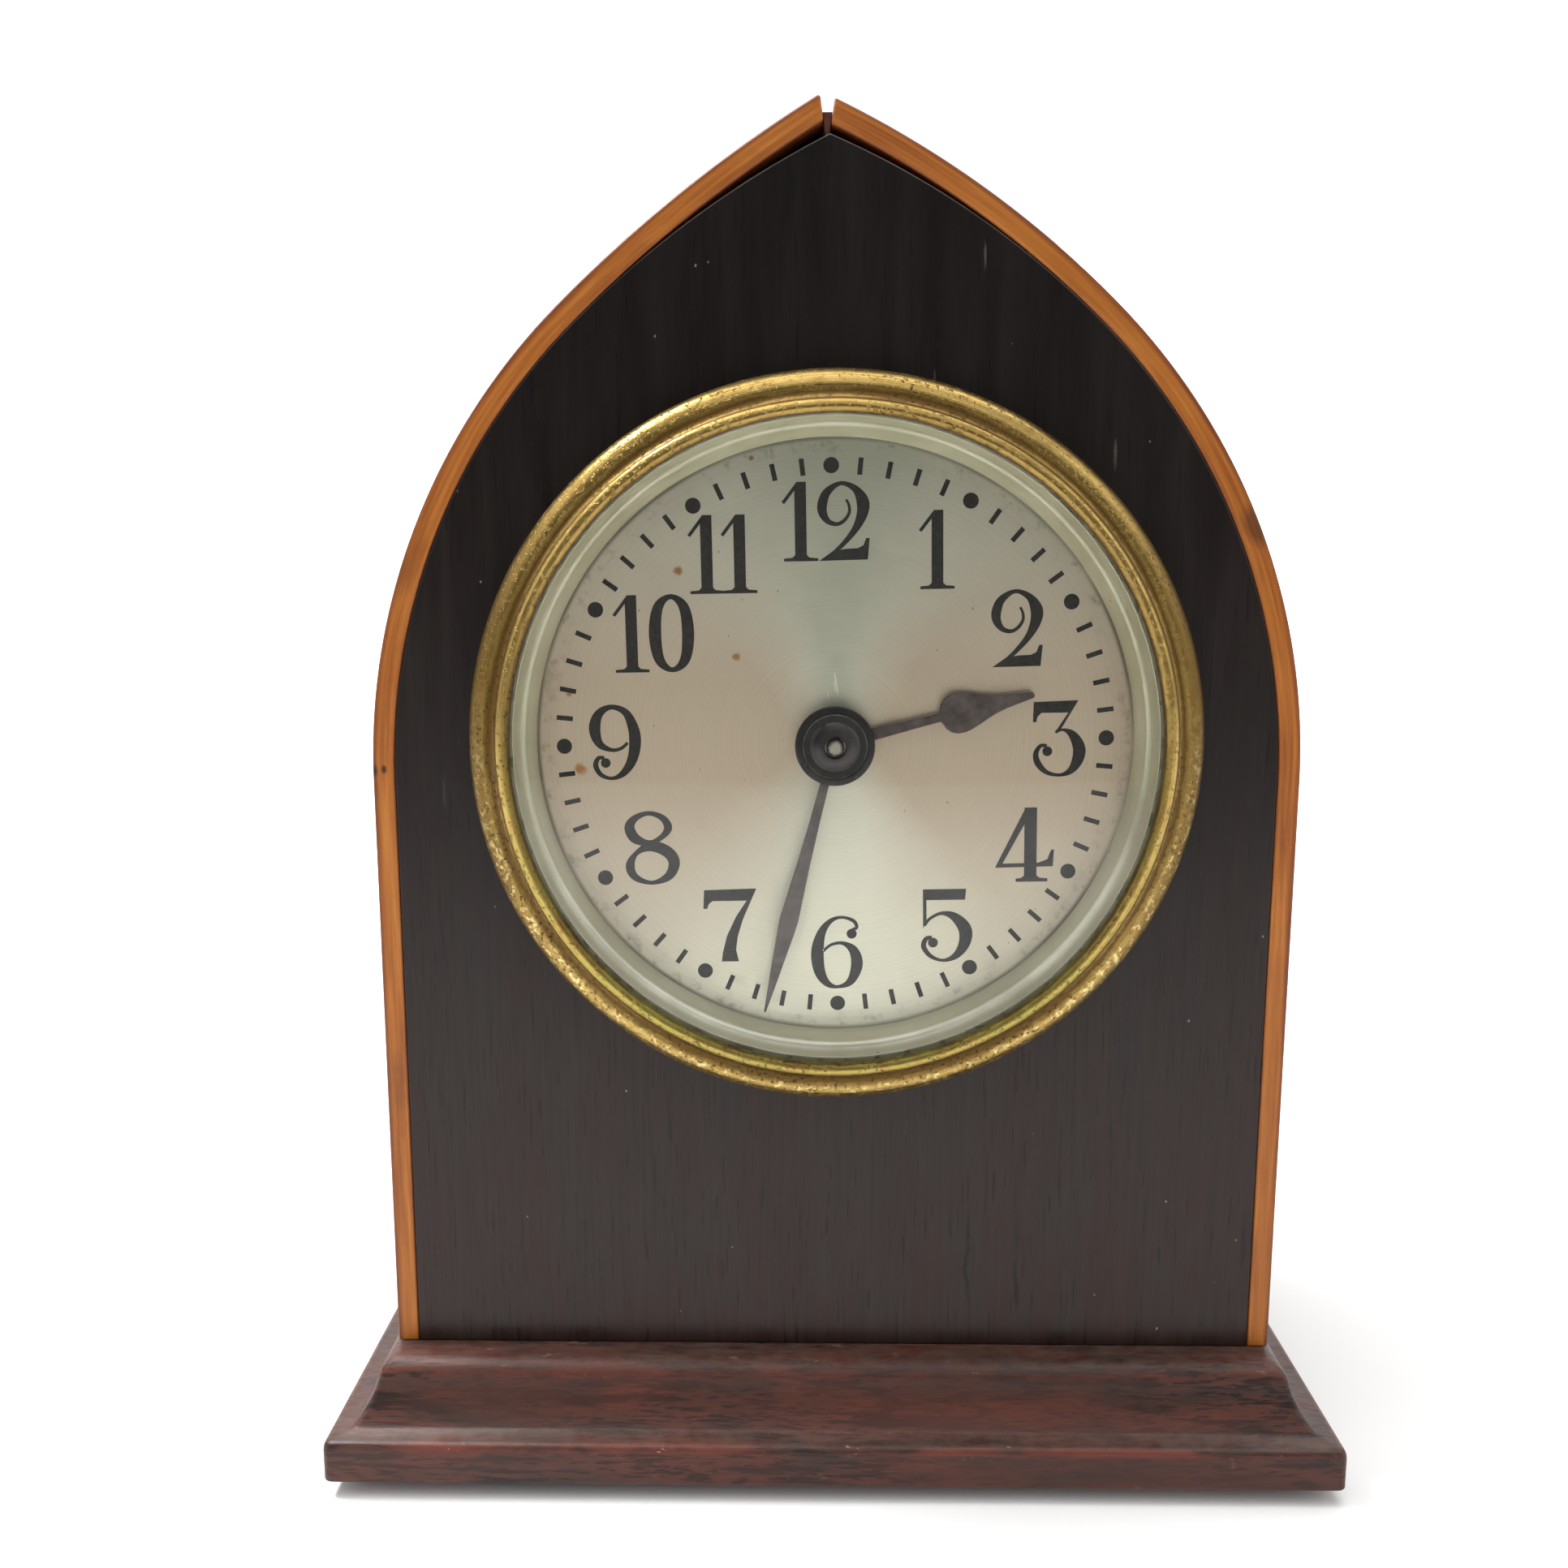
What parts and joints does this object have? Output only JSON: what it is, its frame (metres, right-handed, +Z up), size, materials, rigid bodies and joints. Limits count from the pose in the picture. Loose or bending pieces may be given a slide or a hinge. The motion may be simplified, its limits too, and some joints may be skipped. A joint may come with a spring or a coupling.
{
  "type": "table clock",
  "caption": "Lancet-arch table clock: wooden case on a moulded base, round brass bezel over a silvered dial with spade and taper hands, spring movement wound from the back.",
  "frame": {"origin": "middle of the felt pad's underside, on the surface the clock stands on", "axes": "+Z up, the dial faces -Y, +X to the right as seen from the front"},
  "size_m": [0.108, 0.0574, 0.1429],
  "materials": {
    "dark_mahogany": "semi-gloss, near black, fine vertical grain",
    "honey_strip": "satin, lengthwise grain",
    "red_mahogany": "semi-gloss, worn edges",
    "plain_wood": "matte, unfinished inside",
    "felt": "matte pad",
    "aged_brass": "polished, brown patina in the cove",
    "plate_brass": "satin",
    "crystal": "clear",
    "silvered_dial": "satin silvered",
    "pale_ring": "satin",
    "blued_steel": "dark, semi-gloss",
    "steel": "satin",
    "nickel": "aged nickel plate",
    "ruby": "polished"
  },
  "bodies": {
    "case": {"base_plinth": "red_mahogany", "base_felt": "felt", "base_screws": "steel", "case_floor": "plain_wood", "front_panel": "dark_mahogany", "back_panel": "red_mahogany", "left_side": "red_mahogany", "right_side": "red_mahogany", "left_edge_strip": "honey_strip", "right_edge_strip": "honey_strip", "ridge_block": "red_mahogany", "movement_can": "nickel", "flange_screws": "steel", "bezel": "aged_brass", "glass": "crystal", "sight_ring": "pale_ring", "dial": "silvered_dial", "front_plate": "plate_brass", "back_plate": "plate_brass", "pillars": "plate_brass", "pillar_screws": "steel", "plate_screws": "steel", "back_cover": "nickel", "click_screw": "steel", "click_spring": "steel", "minute_post": "steel", "hairspring": "steel", "balance_cock": "plate_brass", "cock_screw": "steel", "balance_jewels": "ruby"},
    "center_arbor_body": {"center_arbor": "steel", "cannon_pinion": "steel", "minute_hand": "blued_steel", "hand_hub": "blued_steel", "hand_washer": "steel", "set_knob": "plate_brass"},
    "minute_wheel_body": {"minute_wheel": "plate_brass"},
    "hour_body": {"hour_wheel": "plate_brass", "hour_hand": "blued_steel"},
    "fourth_body": {"fourth_wheel": "plate_brass"},
    "third_body": {"third_wheel": "plate_brass"},
    "center_wheel_body": {"center_wheel": "plate_brass", "tension_spring": "plate_brass"},
    "barrel_body": {"barrel": "plate_brass", "barrel_cap": "plate_brass", "mainspring": "steel"},
    "escape_body": {"escape_wheel": "plate_brass"},
    "winding_body": {"barrel_arbor": "steel", "ratchet_wheel": "steel", "winding_key": "plate_brass"},
    "click_body": {"click": "steel"},
    "lever_body": {"pallet_lever": "steel", "pallet_jewels": "ruby"},
    "balance_body": {"balance_wheel": "plate_brass", "balance_staff": "steel"},
    "regulator_body": {"regulator": "steel"}
  },
  "joints": [
    {"name": "center_arbor_turn", "type": "hinge", "parent": "case", "child": "center_arbor_body", "pos_m": [0, -0.0193, 0.07965], "axis": [0, 1, 0], "continuous": true},
    {"name": "minute_wheel_turn", "type": "hinge", "parent": "case", "child": "minute_wheel_body", "pos_m": [-0.00274, -0.0193, 0.07213], "axis": [0, 1, 0], "continuous": true},
    {"name": "hour_wheel_turn", "type": "hinge", "parent": "case", "child": "hour_body", "pos_m": [0, -0.0193, 0.07965], "axis": [0, 1, 0], "continuous": true},
    {"name": "fourth_wheel_turn", "type": "hinge", "parent": "case", "child": "fourth_body", "pos_m": [0.01181, -0.0193, 0.08824], "axis": [0, 1, 0], "continuous": true},
    {"name": "third_wheel_turn", "type": "hinge", "parent": "case", "child": "third_body", "pos_m": [0.01276, -0.0193, 0.0774], "axis": [0, 1, 0], "continuous": true},
    {"name": "center_wheel_turn", "type": "hinge", "parent": "case", "child": "center_wheel_body", "pos_m": [0, -0.0193, 0.07965], "axis": [0, 1, 0], "continuous": true},
    {"name": "barrel_turn", "type": "hinge", "parent": "case", "child": "barrel_body", "pos_m": [-0.01069, -0.0193, 0.06896], "axis": [0, 1, 0], "continuous": true},
    {"name": "escape_wheel_turn", "type": "hinge", "parent": "case", "child": "escape_body", "pos_m": [0.00267, -0.0193, 0.09352], "axis": [0, 1, 0], "continuous": true},
    {"name": "winding_arbor_turn", "type": "hinge", "parent": "case", "child": "winding_body", "pos_m": [-0.01069, -0.0193, 0.06896], "axis": [0, 1, 0], "continuous": true},
    {"name": "click_pivot", "type": "hinge", "parent": "case", "child": "click_body", "pos_m": [-0.01222, -0.0193, 0.07762], "axis": [0, -1, 0], "range_deg": [0, 12], "stiffness_Nm_per_rad": 0.0002, "springref_deg": -11.46, "deforming": ["click_spring"]},
    {"name": "pallet_lever_rock", "type": "hinge", "parent": "case", "child": "lever_body", "pos_m": [-0.00304, -0.0193, 0.09268], "axis": [0, 1, 0], "range_deg": [-4, 4]},
    {"name": "balance_swing", "type": "hinge", "parent": "case", "child": "balance_body", "pos_m": [-0.01139, -0.0193, 0.09145], "axis": [0, 1, 0], "range_deg": [-270, 270], "stiffness_Nm_per_rad": 0.000008, "deforming": ["hairspring"]},
    {"name": "regulator_turn", "type": "hinge", "parent": "case", "child": "regulator_body", "pos_m": [-0.01139, -0.0193, 0.09145], "axis": [0, 1, 0], "range_deg": [-25, 25]}
  ],
  "couplings": [
    {"joint": "minute_wheel_turn", "follows": "center_arbor_turn", "ratio": -0.33333},
    {"joint": "hour_wheel_turn", "follows": "center_arbor_turn", "ratio": 0.083333},
    {"joint": "third_wheel_turn", "follows": "fourth_wheel_turn", "ratio": -0.13333},
    {"joint": "center_wheel_turn", "follows": "fourth_wheel_turn", "ratio": 0.016667},
    {"joint": "barrel_turn", "follows": "fourth_wheel_turn", "ratio": -0.0020833},
    {"joint": "escape_wheel_turn", "follows": "fourth_wheel_turn", "ratio": -10}
  ]
}
